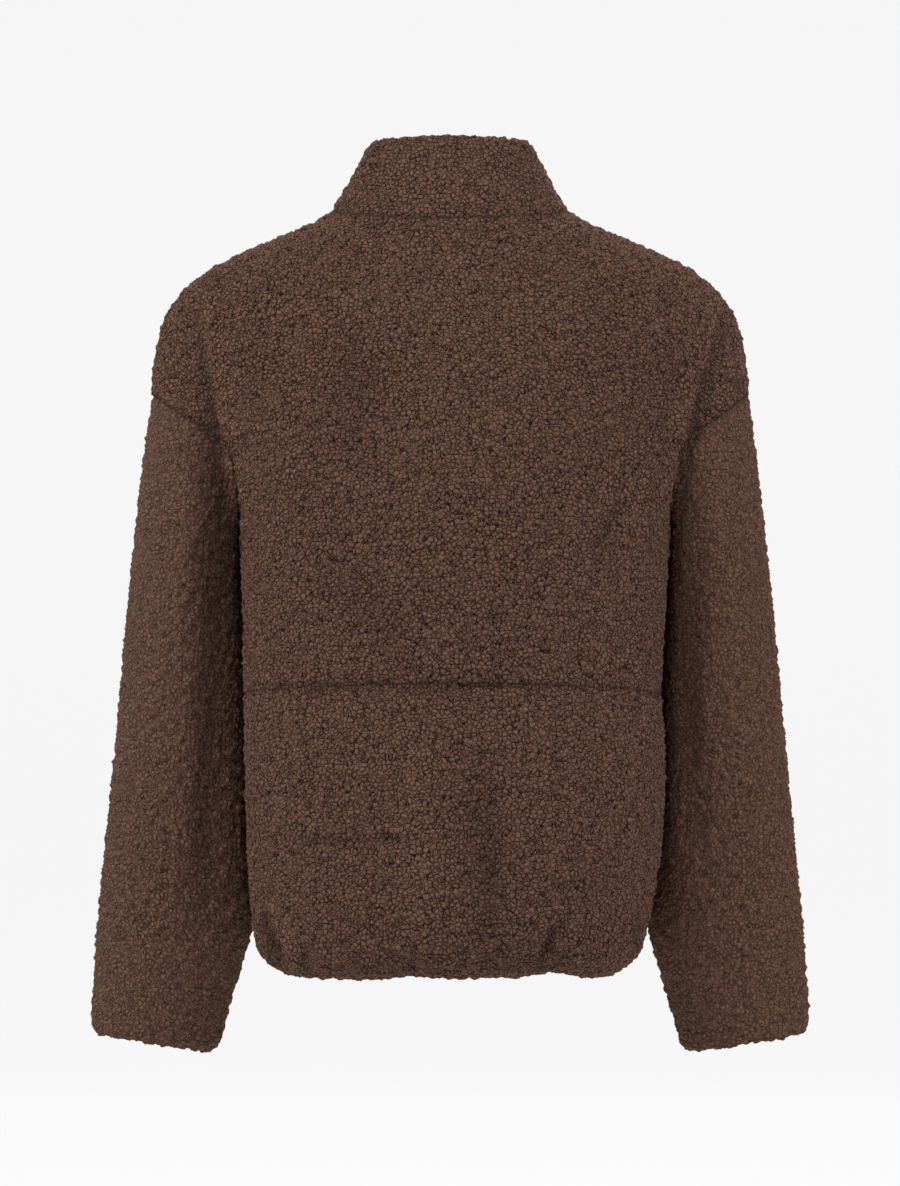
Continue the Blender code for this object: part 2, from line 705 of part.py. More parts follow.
def rim(panel, a, b):
    """The two faces of a wall's rim from grid place a to b, the rim being on the way round.

    The corners are (place, side), side 0 outside. Two pieces that meet pick the same diagonal."""
    if place(panel.rows[a[0]][a[1]]) > place(panel.rows[b[0]][b[1]]):
        return ((b, 0), (a, 0), (b, 1)), ((a, 0), (a, 1), (b, 1))
    return ((b, 0), (a, 0), (a, 1)), ((b, 0), (a, 1), (b, 1))


def wall_object(name, panel, normals, finish):
    """A closed wall between a panel's outer and inner grids."""
    outer, inner = wall_points(panel, normals)
    rows, columns = panel.grid()
    count = len(rows) * len(columns)
    vertices = [point for grid in (outer, inner) for row in grid for point in row]
    top, last = len(rows) - 1, len(columns) - 1
    faces = []
    for corners in panel.cells():
        faces.append([(corner, 0) for corner in corners])
        faces.append([(corner, 1) for corner in reversed(corners)])
    for j in columns if panel.closed else columns[:-1]:
        faces += rim(panel, (0, j), (0, panel.column_after(j)))
        faces += rim(panel, (top, panel.column_after(j)), (top, j))
    if not panel.closed:
        for i in rows[:-1]:
            faces += rim(panel, (i + 1, 0), (i, 0))
            faces += rim(panel, (i, last), (i + 1, last))
    mesh = bpy.data.meshes.new(name)
    numbered = [
        [side * count + i * len(columns) + j for (i, j), side in corners] for corners in faces
    ]
    mesh.from_pydata(vertices, [], numbered)
    mesh.update()
    return add_object(name, mesh, finish)


def add_object(name, mesh, finish):
    made = bmesh.new()
    made.from_mesh(mesh)
    bmesh.ops.recalc_face_normals(made, faces=made.faces)
    made.to_mesh(mesh)
    made.free()
    mesh.materials.append(make_material(name, *finish))
    mesh.shade_smooth()
    mesh.set_sharp_from_angle(angle=SHARP_EDGE)
    obj = bpy.data.objects.new(name, mesh)
    bpy.context.scene.collection.objects.link(obj)
    return obj


def make_material(name, kind, colour, roughness, metallic):
    material = bpy.data.materials.new(name + "_" + kind)
    material.use_nodes = True
    shader = material.node_tree.nodes["Principled BSDF"]
    shader.inputs["Base Color"].default_value = (*colour, 1)
    shader.inputs["Roughness"].default_value = roughness
    shader.inputs["Metallic"].default_value = metallic
    return material


def edge_thickness(to_zip, full):
    """The cloth is thinner beside the zip, where its edge is sewn down. to_zip counts columns."""
    return (ZIP_EDGE_CLOTH, (ZIP_EDGE_CLOTH + CLOTH) / 2)[to_zip] if to_zip < 2 else full


def body_panels():
    """The back in two pieces and the two fronts."""
    back = [
        [*reversed(left), *right[1:]]
        for left, right in zip(half_body(1, 1), half_body(1, -1))
    ]
    split = len(HEM_TURN_ANGLES) + LOWER_ROWS
    edge = 2 * HALF_COLUMNS

    def back_folds(rows):
        def depth(i, j):
            point = rows[i][j]
            beside = BACK_CALM_SIDE * min(j, edge - j) / edge
            calm = min(1, beside, max(0, -point.z - BACK_CALM) / CALM_OVER)
            return calm * fold_depth(BACK_FOLDS, point.x, point.z)

        return depth

    lower, upper = back[: split + 1], back[split:]
    panels = {
        "back_lower": Panel(lower, ("top", "first", "last"), folds=back_folds(lower)),
        "back_upper": Panel(
            upper, ("bottom", "top", "first", "last"), folds=back_folds(upper)
        ),
    }
    for name, side in (("front_left", 1), ("front_right", -1)):
        panels[name] = front_panel(side)
    return panels


def front_panel(side):
    """A front. Its first column is the right-hand one as seen from outside, on both sides."""
    rows = half_body(-1, side)
    if side < 0:
        rows = [row[::-1] for row in rows]

    def to_zip(j):
        return j if side > 0 else HALF_COLUMNS - j

    def folds(i, j):
        point = rows[i][j]
        beside = FRONT_CALM_SIDE * min(to_zip(j), HALF_COLUMNS - to_zip(j)) / HALF_COLUMNS
        calm = min(1, beside, max(0, -point.z - FRONT_CALM) / CALM_OVER)
        return calm * fold_depth(FRONT_FOLDS, point.x, point.z)

    def thickness(i, j):
        return edge_thickness(to_zip(j), CLOTH)

    seams = ("top", "last") if side > 0 else ("top", "first")
    return Panel(rows, seams, folds=folds, thickness=thickness)


def sleeve_panel(side, folds):
    rows = sleeve_rows(side)
    angles = [math.degrees(angle) for _, angle in sleeve_loop(side)]
    if side < 0:
        rows = [row[::-1] for row in rows]
        angles.reverse()

    def depth(i, j):
        calm = min(1, max(0, len(rows) - 3 - i) / 2, max(0, i - 2) / 2)
        return calm * sleeve_fold_depth(folds, angles[j], rows[i][j].z)

    return Panel(rows, ("top",), closed=True, folds=depth)


def collar_panel(panels):
    """The collar's grid, on the points of the neckline from one front's edge round to the other."""
    shares = [j / HALF_COLUMNS for j in range(HALF_COLUMNS + 1)]
    left = panels["front_left"].rows[-1]
    right = panels["front_right"].rows[-1]
    back = panels["back_upper"].rows[-1]
    neckline = [(point, 1, -1, share) for point, share in zip(left, shares)]
    neckline += [
        (point, 1, 1, share)
        for point, share in zip(back[1 : HALF_COLUMNS + 1], shares[::-1][1:])
    ]
    neckline += [(point, -1, 1, share) for point, share in zip(back[HALF_COLUMNS + 1 :], shares[1:])]
    neckline += [(point, -1, -1, share) for point, share in zip(right[1:], shares[::-1][1:])]
    rows = collar_rows(neckline)

    def thickness(i, j):
        full = CLOTH + (COLLAR_CLOTH - CLOTH) * min(i / 2, 1)
        return edge_thickness(min(j, 4 * HALF_COLUMNS - j), full)

    return Panel(rows, ("bottom",), thickness=thickness)


def zip_stations(panels, normals):
    """The cloth's inner side beside the zip, from the hem up: each front edge and the next point."""
    front = wall_points(panels["front_left"], normals)[1]
    collar = wall_points(panels["collar"], normals)[1]
    return [(row[0], row[1]) for row in (*front[1:-1], *collar[1:])]


def zip_strip(stations, near, far, depth, thickness):
    """A strip along the zip from x = near to x = far, at a depth below the cloth's inner side."""
    rows = []
    for k, (edge, beyond) in enumerate(stations):
        below, above = stations[max(k - 1, 0)][0], stations[min(k + 1, len(stations) - 1)][0]
        inward = (above - below).cross(Vector((1, 0, 0))).normalized()
        slope = (beyond - edge) / (beyond.x - edge.x)
        row = []
        for x in (near, far):
            point = edge + slope * max(abs(x) - edge.x, 0) + inward * depth
            row.append(Vector((x, point.y, point.z)))
        rows.append(row)
    return Panel(rows, thickness=lambda i, j: thickness)


def distances(stations):
    """How far along the zip each station is."""
    steps = [(b[0] - a[0]).length for a, b in zip(stations, stations[1:])]
    return np.concatenate(([0], np.cumsum(steps)))


def station_at(stations, distance):
    """A station at a distance from the zip's lower end, or from its upper end if negative."""
    travelled = distances(stations)
    if distance < 0:
        distance += travelled[-1]
    k = max(min(int(np.searchsorted(travelled, distance)), len(stations) - 1), 1)
    share = (distance - travelled[k - 1]) / (travelled[k] - travelled[k - 1])
    return tuple(a.lerp(b, share) for a, b in zip(stations[k - 1], stations[k]))


def between(stations, low, high):
    """The stations from low to high, which counts down from the zip's upper end."""
    travelled = distances(stations)
    top = travelled[-1] + high
    inside = [
        station
        for station, far in zip(stations, travelled)
        if low + STATION_ROOM < far < top - STATION_ROOM
    ]
    return [station_at(stations, low), *inside, station_at(stations, high)]


def zip_frame(stations, distance):
    """A frame between the tapes: x to the wearer's left, y inward and z up the zip."""
    steps = (-STATION_ROOM / 2, STATION_ROOM / 2)
    below, above = (station_at(stations, distance + step)[0] for step in steps)
    up = Vector((0, above.y - below.y, above.z - below.z)).normalized()
    inward = up.cross(Vector((1, 0, 0)))
    frame = Matrix((Vector((1, 0, 0)), inward, up)).transposed().to_4x4()
    middle = (below + above) / 2 + inward * (GAP + TAPE / 2)
    frame.translation = (0, middle.y, middle.z)
    return frame


def strip_object(name, panel, finish):
    return wall_object(name, panel, shared_normals({name: panel}, ()), finish)


def block(low, high, round_off=0.0):
    """A block between two corners, the edges along y rounded."""
    size = Vector(high) - Vector(low)
    made = bmesh.new()
    bmesh.ops.create_cube(made, size=1)
    bmesh.ops.scale(made, vec=size, verts=made.verts)
    if round_off:
        edges = [e for e in made.edges if abs(e.verts[0].co.y - e.verts[1].co.y) > size.y / 2]
        bmesh.ops.bevel(made, geom=edges, offset=round_off, segments=3, profile=0.5, affect="EDGES")
    bmesh.ops.translate(made, vec=(Vector(low) + Vector(high)) / 2, verts=made.verts)
    mesh = bpy.data.meshes.new("block")
    made.to_mesh(mesh)
    made.free()
    obj = bpy.data.objects.new("block", mesh)
    bpy.context.scene.collection.objects.link(obj)
    return obj


def merged(name, pieces, cuts, frame, finish):
    """One solid out of overlapping pieces, less the cuts, set in its frame."""
    first = pieces[0]
    steps = [(piece, "UNION") for piece in pieces[1:]] + [(cut, "DIFFERENCE") for cut in cuts]
    for other, operation in steps:
        step = first.modifiers.new(operation, "BOOLEAN")
        step.operation = operation
        step.object = other
    graph = bpy.context.evaluated_depsgraph_get()
    mesh = bpy.data.meshes.new_from_object(first.evaluated_get(graph))
    mesh.name = name
    mesh.materials.clear()
    for obj in (*pieces, *cuts):
        bpy.data.objects.remove(obj)
    obj = add_object(name, mesh, finish)
    obj.matrix_world = frame
    return obj


def slider_levels():
    """The slider's surfaces, as depths from its middle: plate's inner and outer side, then bar."""
    inner = CHAIN / 2 + GAP
    outer = inner + SLIDER_PLATE
    return inner, outer, outer + PULL_ROOM + PULL_BAR / 2


def zip_slider(frame):
    """Two plates over and under the chain, the wedge between them, and a bridge for the pull."""
    inner, outer, bar = slider_levels()
    half, end = SLIDER_WIDTH / 2, SLIDER_LENGTH / 2
    room = PULL_BAR / 2 + PULL_ROOM
    bridge_top = bar + room + BRIDGE_THICKNESS
    wide, leg = BRIDGE_WIDTH / 2, room + BRIDGE_LEG
    pieces = [
        block((-half, -outer, -end), (half, -inner, end), SLIDER_ROUND),
        block((-half, inner, -end), (half, outer, end), SLIDER_ROUND),
        block(
            (-WEDGE_WIDTH / 2, -inner - REACH_INTO, end - WEDGE_BELOW_END - WEDGE_LENGTH),
            (WEDGE_WIDTH / 2, inner + REACH_INTO, end - WEDGE_BELOW_END),
            WEDGE_ROUND,
        ),
        block((-wide, -bridge_top, -leg), (wide, -outer + REACH_INTO, leg)),
    ]
    side = wide + REACH_INTO
    cuts = [block((-side, -bar - room, -room), (side, -outer, room))]
    return merged("zip_slider", pieces, cuts, frame, DARK_METAL)


def zip_pull(frame):
    """The tab, hung by a bar that turns under the slider's bridge. Its origin is on the bar."""
    bar = slider_levels()[2]
    half, thick = PULL_WIDTH / 2, PULL_BAR / 2
    room = thick + PULL_ROOM
    reach = math.hypot(room + BRIDGE_LEG, room + BRIDGE_THICKNESS) + PULL_ROOM
    hole, through = half - PULL_RIM, 2 * thick
    pieces = [block((-half, -thick, -PULL_LENGTH), (half, thick, thick), PULL_ROUND)]
    cuts = [block((-hole, -through, -reach), (hole, through, -thick), HOLE_ROUND)]
    at_bar = frame @ Matrix.Translation((0, -bar, 0))
    return merged("zip_pull", pieces, cuts, at_bar, DARK_METAL)


def zip_box(frame):
    """The box that holds the chain's lower end."""
    half = Vector((CHAIN_WIDTH, BOX_DEPTH, BOX_LENGTH)) / 2
    return merged("zip_box", [block(-half, half, WEDGE_ROUND)], [], frame, DARK_METAL)


def add_zip(panels, normals):
    stations = zip_stations(panels, normals)
    near = CHAIN_WIDTH / 2 + GAP
    run = between(stations, 0.0, -TAPE_BELOW_TOP)
    for name, ends in (("left", (near, TAPE_EDGE)), ("right", (-TAPE_EDGE, -near))):
        strip_object("zip_tape_" + name, zip_strip(run, *ends, GAP, TAPE), WOVEN_TAPE)
    wedge_bottom = SLIDER_BELOW_TOP - SLIDER_LENGTH / 2 + WEDGE_BELOW_END + WEDGE_LENGTH
    chain = between(stations, BOX_LENGTH + CHAIN_ABOVE_BOX, -wedge_bottom - GAP)
    half = CHAIN_WIDTH / 2
    strip = zip_strip(chain, -half, half, GAP + TAPE / 2 - CHAIN / 2, CHAIN)
    strip_object("zip_teeth", strip, DARK_METAL)
    slider = zip_frame(stations, -SLIDER_BELOW_TOP)
    zip_slider(slider)
    zip_pull(slider)
    zip_box(zip_frame(stations, BOX_LENGTH / 2))


def clear_scene():
    for obj in list(bpy.data.objects):
        bpy.data.objects.remove(obj)


def main():
    clear_scene()
    panels = body_panels()
    panels["sleeve_left"] = sleeve_panel(1, LEFT_SLEEVE_FOLDS)
    panels["sleeve_right"] = sleeve_panel(-1, RIGHT_SLEEVE_FOLDS)
    panels["collar"] = collar_panel(panels)
    press_folds(panels)
    normals = shared_normals(panels, (1, -1))
    for name, panel in panels.items():
        wall_object(name, panel, normals, BOUCLE)
    add_zip(panels, normals)


main()
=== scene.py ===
"""The looks of a boucle fleece jacket that hangs in its worn shape, seen from behind.

Each piece of cloth is made from its solid: smoothed, cut into fine faces, creased, and raised into
curls of pile. Metres, +Z up, -Y the front, +X the wearer's left."""

import math

import bmesh
import bpy
import numpy as np
from mathutils import Matrix, Vector
from mathutils.bvhtree import BVHTree
from mathutils.kdtree import KDTree


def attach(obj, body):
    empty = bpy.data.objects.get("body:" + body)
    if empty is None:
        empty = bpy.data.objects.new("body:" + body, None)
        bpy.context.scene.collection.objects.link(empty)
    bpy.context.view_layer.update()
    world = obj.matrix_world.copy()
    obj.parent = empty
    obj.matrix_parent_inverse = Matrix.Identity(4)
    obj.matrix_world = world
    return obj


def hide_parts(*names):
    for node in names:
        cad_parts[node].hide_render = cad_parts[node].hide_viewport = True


MM = 0.001

# The pile. Its solids reach to the tips of the curls.
CURL = 3.6 * MM  # from the middle of one curl to the next
CURL_HEIGHT = 1.5 * MM
CURL_PROUD = 0.6 * MM  # how far the tips stand above the smoothed solid
TUFT = 6.5 * MM  # the size of the tufts that the curls stand in
TUFT_HEIGHT = 5.0 * MM  # of which only the middle third is reached
CURL_BEND = 2.6 * MM  # the size of the kinks that make the curls uneven
CURL_SHIFT = 2.4 * MM  # and how far they shift a curl's edge
CLUMP = 4.5 * MM  # the distance over which curls run together
CLUMPED = (0.34, 0.58)  # the noise at which the gaps start to open, and at which they are open
LEAST_GAP = 0.5  # how open the gaps in a clump still are
DOME_REACH = 0.32  # a curl rises this far from its edge, as a share of its size
GAP_SHADE_REACH = 0.13  # and painted shade darkens it this far from its edge
SLEEVE_GAP_SHADE = 0.58  # the gaps' painted shade on the sleeves, where the pile hangs closed
THREAD = 0.7 * MM  # one looped thread
THREAD_TWIST = 1.2  # how far the threads' noise is pulled about, so that it looks looped
THREAD_RELIEF = 0.6  # how much the threads add to the bump, against 1 for the curls
THREAD_TONE = 0.8  # and to the colour, as painted shade that darkens the lower threads
TONE_RANGE = (0.44, 1.58)  # the sums of both that are the darkest and the lightest colour
PILE_BUMP = 2.4 * MM  # the bump's height where curls and threads add up to 1

# The inner side's knitted stitches are drawn a little coarser than real ones, so that they show.
STITCH = 1.3 * MM
STITCH_HEIGHT = 0.4 * MM

# Seams and free edges.
SEAM_HALF = 2.2 * MM
SEAM_DEPTH = 1.5 * MM
SEAM_SHADE = 0.72  # the pile's tone in a seam's groove under painted shade, as a share of its own
DEEPEST = 2.6 * MM  # what seams and creases may press into the wall
FOLD_SHADE = 0.34  # how much painted shade darkens the pile in the deepest crease
RIDGE_LIGHT = -0.3  # a ridge counts as this hollow at most, so it gets a little painted light
CREASE_FADE = 0.6  # how soon creases fade out at their ends: under 1 is late
SEAM_FLAT = 1.9 * MM  # the pile stands up fully this far from a seam
SAME_SEAM = 0.6 * MM  # two pieces this close together are sewn
HEM_BAND = -0.612  # below this the hem's inner side is turned-in pile
CUFF_BAND = -0.680  # and below this the cuffs'
ZIP_BAND = 0.0085  # the front edges are turned in as far as this from the middle
SIDE_ANGLE = math.radians(50)  # a wall's sides meet its edges at more than this

# The zip's teeth.
TOOTH_PITCH = 2.9 * MM  # from one tooth to the next of the same tape
TOOTH_LENGTH = 3.6 * MM
TOOTH_DEPTH = 2.2 * MM
TOOTH_HEIGHT = 1.25 * MM
TOOTH_OUT = 1.0 * MM  # from the chain's middle to a tooth's middle
TOOTH_ROUND = 0.3 * MM
TAPE_EDGE = 3.0 * MM  # the solid tapes' inner edges are nearer to the middle than this
TAPE_INNER = 0.4 * MM  # the cloth tapes reach in between the teeth
TAPE_RIB = 0.9 * MM  # twice as coarse as real ribs, which are too fine to show
TAPE_RELIEF = 0.15 * MM
METAL_SPOT = 2.5 * MM  # how far apart the duller spots of the plating are

# How fine the faces are.
SMOOTHING = 2
LONGEST_EDGE = 2.38 * MM
CUT_ROUNDS = 4
MERGE = 0.01 * MM
FLAT_ENOUGH = math.radians(45)  # two triangles that meet at less than this are joined
SQUARE_ENOUGH = math.radians(100)  # unless the quad would be more skewed than this

# The camera stands behind the wearer. The photograph's frame is 900 by 1186 pixels.
CAMERA_DISTANCE = 5.0
CAMERA_HEIGHT = -0.315
PICTURE_HEIGHT = 0.996  # metres of the jacket's plane that the frame takes in
SENSOR = 36.0

# The paper sweep: its floor's height, how far it reaches behind and in front of the jacket and
# to each side, its top, its bend's radius and steps, and where its glow is full and starts.
FLOOR = -1.25
SWEEP_NEAR = 6.0
SWEEP_FAR = -7.0
SWEEP_HALF = 12.0
SWEEP_TOP = 9.0
SWEEP_BEND = 1.2
SWEEP_STEPS = 8
SWEEP_STRIP = 2.7  # a strip of floor from here keeps the shading of the bend to itself
PAPER_LIT = -4.2
PAPER_UNLIT = -1.4
PAPER_GLOW = 0.84

# Each lamp's name, place, side and power, and the strength of the pale room round them.
LAMPS = (
    ("soft_box", (0.6, 1.9, 2.6), 1.2, 54.5),
    ("left_box", (2.4, 1.0, 0.6), 1.2, 38),
    ("right_box", (-2.4, 1.0, 0.6), 1.2, 34.5),
    ("front_box", (-0.7, -2.3, 2.3), 1.4, 60),
)
ROOM_LIGHT = 0.275

# Each cloth piece: width and length of its cut and its flat area, in metres, and how it is held.
CLOTH = {
    "back_upper": (0.56, 0.42, 0.200, "hung"),
    "back_lower": (0.44, 0.27, 0.115, "gathered"),
    "front_left": (0.30, 0.70, 0.150, "hung"),
    "front_right": (0.30, 0.70, 0.150, "hung"),
    "sleeve_left": (0.42, 0.56, 0.180, "hung"),
    "sleeve_right": (0.42, 0.56, 0.180, "hung"),
    "collar": (0.52, 0.08, 0.038, "hung"),
}

# Soft creases that the solids leave out: the side they are on (+1 the back), half their width
# and their depth in metres, and the (x, z) corners of their line. A depth under 0 is a ridge.
CREASES = (
    # The back: along its seam, then wide hollows, then short folds.
    (1, 0.0080, 0.0007, ((0.139, -0.3965), (0.070, -0.3915), (0, -0.390), (-0.088, -0.3915))),
    (1, 0.0260, 0.0012, ((0.076, -0.094), (0.082, -0.160), (0.084, -0.222))),
    (1, 0.0200, 0.0012, ((0.109, -0.287), (0.075, -0.315), (0.044, -0.356))),
    (1, 0.0150, 0.0017, ((-0.024, -0.438), (-0.030, -0.530), (-0.038, -0.625))),
    (1, 0.0045, 0.0012, ((0.158, -0.517), (0.080, -0.519), (-0.004, -0.516))),
    (1, 0.0050, 0.0010, ((-0.067, -0.560), (-0.135, -0.558))),
    (1, 0.0060, 0.0016, ((-0.150, -0.235), (-0.128, -0.262), (-0.118, -0.300))),
    # The dropped shoulders over the sleeves, a hollow and a ridge beside it, behind and in front.
    (1, 0.0075, 0.0024, ((0.212, -0.062), (0.209, -0.094), (0.202, -0.140), (0.194, -0.186),
                         (0.187, -0.236), (0.181, -0.300))),
    (1, 0.0065, -0.0034, ((0.202, -0.062), (0.199, -0.094), (0.192, -0.140), (0.184, -0.186),
                          (0.177, -0.240))),
    (1, 0.0075, 0.0024, ((-0.236, -0.062), (-0.212, -0.139), (-0.198, -0.195), (-0.190, -0.262),
                         (-0.187, -0.310))),
    (1, 0.0065, -0.0034, ((-0.225, -0.062), (-0.201, -0.139), (-0.188, -0.195), (-0.180, -0.245))),
    (-1, 0.0075, 0.0022, ((0.208, -0.090), (0.199, -0.150), (0.186, -0.220))),
    (-1, 0.0060, -0.0022, ((0.198, -0.095), (0.189, -0.150), (0.177, -0.210))),
    (-1, 0.0075, 0.0020, ((-0.212, -0.080), (-0.200, -0.145), (-0.188, -0.228))),
    (-1, 0.0060, -0.0020, ((-0.202, -0.085), (-0.190, -0.145), (-0.179, -0.215))),
    # Down the sleeves.
    (1, 0.0130, 0.0016, ((0.210, -0.150), (0.200, -0.215), (0.195, -0.280), (0.194, -0.350))),
    (1, 0.0120, 0.0022, ((0.196, -0.300), (0.199, -0.400), (0.205, -0.520), (0.212, -0.610))),
    (1, 0.0100, 0.0020, ((-0.200, -0.300), (-0.203, -0.420), (-0.212, -0.540))),
    # The gathers at the hem, and the swell above them.
    (1, 0.0070, 0.0030, ((0.159, -0.578), (0.149, -0.604), (0.139, -0.630))),
    (1, 0.0052, -0.0030, ((0.147, -0.568), (0.138, -0.594), (0.131, -0.616), (0.127, -0.634))),
    (1, 0.0045, 0.0022, ((0.124, -0.600), (0.120, -0.618), (0.117, -0.634))),
    (1, 0.0055, 0.0026, ((-0.092, -0.584), (-0.078, -0.610), (-0.068, -0.634))),
    (1, 0.0040, 0.0022, ((-0.158, -0.586), (-0.156, -0.606), (-0.160, -0.628))),
    (1, 0.0035, 0.0018, ((0.032, -0.610), (0.029, -0.634))),
    (1, 0.0120, -0.0012, ((0.030, -0.440), (0.026, -0.540), (0.034, -0.620))),
    # The front, which the photograph doesn't show.
    (-1, 0.0220, 0.0014, ((0.090, -0.130), (0.098, -0.200), (0.092, -0.262))),
    (-1, 0.0240, 0.0012, ((-0.084, -0.140), (-0.094, -0.205), (-0.100, -0.280))),
    (-1, 0.0180, 0.0014, ((0.052, -0.420), (0.060, -0.520), (0.055, -0.610))),
    (-1, 0.0150, 0.0015, ((-0.060, -0.450), (-0.055, -0.540), (-0.062, -0.615))),
    (-1, 0.0060, 0.0012, ((0.030, -0.330), (0.090, -0.345), (0.150, -0.325))),
    (-1, 0.0055, 0.0012, ((-0.040, -0.365), (-0.100, -0.352))),
)

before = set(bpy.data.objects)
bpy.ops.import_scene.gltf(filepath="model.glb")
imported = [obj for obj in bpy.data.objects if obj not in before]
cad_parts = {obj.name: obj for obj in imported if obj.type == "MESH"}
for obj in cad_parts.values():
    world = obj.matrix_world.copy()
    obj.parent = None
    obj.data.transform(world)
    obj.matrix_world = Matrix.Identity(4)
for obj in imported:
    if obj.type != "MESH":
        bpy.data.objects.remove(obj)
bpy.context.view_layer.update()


def linear(code):
    """A colour for Blender from its sRGB hex code."""
    parts = [int(code[i : i + 2], 16) / 255 for i in (0, 2, 4)]
    return tuple(p / 12.92 if p <= 0.04045 else ((p + 0.055) / 1.055) ** 2.4 for p in parts) + (1,)


def add_node(tree, kind, inputs=None, **settings):
    """A node with its settings. An input is a value, or a socket that is linked to it."""
    node = tree.nodes.new(kind)
    for name, value in settings.items():
        setattr(node, name, value)
    for name, value in (inputs or {}).items():
        if isinstance(value, bpy.types.NodeSocket):
            tree.links.new(value, node.inputs[name])
        else:
            node.inputs[name].default_value = value
    return node


def new_material(name):
    """A material to fill in, with its node tree and its shader."""
    material = bpy.data.materials.new(name)
    material.use_nodes = True
    return material, material.node_tree, material.node_tree.nodes["Principled BSDF"]


def new_object(name, data):
    """A mesh, lamp or camera as an object of the scene."""
    obj = bpy.data.objects.new(name, data)
    bpy.context.scene.collection.objects.link(obj)
    return obj


def curl_gaps(tree, place):
    """How far a place is from the gap between two curls, and how open that gap is, 0 to 1."""
    kinks = add_node(
        tree, "ShaderNodeTexNoise", {"Vector": place, "Scale": 1 / CURL_BEND, "Detail": 1.0}
    )
    centred = add_node(
        tree,
        "ShaderNodeVectorMath",
        {0: kinks.outputs["Color"], 1: (0.5, 0.5, 0.5)},
        operation="SUBTRACT",
    )
    shifted = add_node(
        tree,
        "ShaderNodeVectorMath",
        {0: centred.outputs["Vector"], 1: (CURL_SHIFT,) * 3, 2: place},
        operation="MULTIPLY_ADD",
    )
    cells = add_node(
        tree,
        "ShaderNodeTexVoronoi",
        {"Vector": shifted.outputs["Vector"], "Scale": 1 / CURL},
        feature="DISTANCE_TO_EDGE",
    )
    clumps = add_node(
        tree, "ShaderNodeTexNoise", {"Vector": place, "Scale": 1 / CLUMP, "Detail": 2.0}
    )
    opened = add_node(
        tree,
        "ShaderNodeMapRange",
        {"Value": clumps.outputs[0], 1: CLUMPED[0], 2: CLUMPED[1], 3: LEAST_GAP, 4: 1.0},
    )
    return cells.outputs["Distance"], opened.outputs["Result"]


def curl_dome(tree, distance, opened, reach):
    """A curl's height, 0 to 1: it rises within reach of the gap beside it."""
    dome = add_node(
        tree,
        "ShaderNodeMapRange",
        {"Value": distance, 1: 0.0, 2: reach, 3: 1.0, 4: 0.0},
        interpolation_type="SMOOTHSTEP",
    )
    gap = add_node(
        tree, "ShaderNodeMath", {0: dome.outputs["Result"], 1: opened}, operation="MULTIPLY"
    )
    return add_node(
        tree, "ShaderNodeMath", {0: 1.0, 1: gap.outputs["Value"]}, operation="SUBTRACT"
    ).outputs["Value"]


def curl_tree():
    """Raises the faces into curls along their normals, and keeps where each point was at rest."""
    tree = bpy.data.node_groups.new("curls", "GeometryNodeTree")
    tree.interface.new_socket("Geometry", in_out="INPUT", socket_type="NodeSocketGeometry")
    tree.interface.new_socket("Geometry", in_out="OUTPUT", socket_type="NodeSocketGeometry")
    start = add_node(tree, "NodeGroupInput")
    place = add_node(tree, "GeometryNodeInputPosition").outputs["Position"]
    kept = add_node(
        tree,
        "GeometryNodeStoreNamedAttribute",
        {"Geometry": start.outputs["Geometry"], "Name": "rest"},
        data_type="FLOAT_VECTOR",
        domain="POINT",
    )
    tree.links.new(place, kept.inputs["Value"])
    height = curl_dome(tree, *curl_gaps(tree, place), DOME_REACH)
    tufts = add_node(
        tree, "ShaderNodeTexNoise", {"Vector": place, "Scale": 1 / TUFT, "Detail": 0.0}
    ).outputs[0]
    base = add_node(
        tree,
        "ShaderNodeMath",
        {0: tufts, 1: TUFT_HEIGHT, 2: CURL_PROUD - CURL_HEIGHT - TUFT_HEIGHT / 2},
        operation="MULTIPLY_ADD",
    )
    raised = add_node(
        tree,
        "ShaderNodeMath",
        {0: height, 1: CURL_HEIGHT, 2: base.outputs["Value"]},
        operation="MULTIPLY_ADD",
    )
    pile = add_node(tree, "GeometryNodeInputNamedAttribute", {"Name": "pile"}, data_type="FLOAT")
    amount = add_node(
        tree,
        "ShaderNodeMath",
        {0: raised.outputs["Value"], 1: pile.outputs["Attribute"]},
        operation="MULTIPLY",
    )
    offset = add_node(
        tree,
        "ShaderNodeVectorMath",
        {
            0: add_node(tree, "GeometryNodeInputNormal").outputs["Normal"],
            "Scale": amount.outputs["Value"],
        },
        operation="SCALE",
    )
    moved = add_node(
        tree,
        "GeometryNodeSetPosition",
        {"Geometry": kept.outputs["Geometry"], "Offset": offset.outputs["Vector"]},
    )
    add_node(tree, "NodeGroupOutput", {"Geometry": moved.outputs["Geometry"]})
    return tree


def only(obj):
    """Makes obj the one selected and active object."""
    bpy.ops.object.select_all(action="DESELECT")
    obj.select_set(True)
    bpy.context.view_layer.objects.active = obj


def outer_side(mesh):
    """The numbers of the faces of a wall's outer side, which is the largest side it has."""
    made = bmesh.new()
    made.from_mesh(mesh)
    made.faces.ensure_lookup_table()
    sides = []
    left = set(range(len(made.faces)))
    while left:
        side, reached = set(), [left.pop()]
        while reached:
            index = reached.pop()
            side.add(index)
            for edge in made.faces[index].edges:
                if edge.calc_face_angle(math.pi) < SIDE_ANGLE:
                    for face in edge.link_faces:
                        if face.index in left:
                            left.remove(face.index)
                            reached.append(face.index)
        sides.append((sum(made.faces[k].calc_area() for k in side), side))
    made.free()
    return max(sides, key=lambda entry: entry[0])[1]


def turned_in(name, centre):
    """Whether pile covers the inner side here: the collar, and along the free edges."""
    if name == "collar" or centre.z < (CUFF_BAND if name.startswith("sleeve") else HEM_BAND):
        return True
    return centre.y < 0 and abs(centre.x) < ZIP_BAND


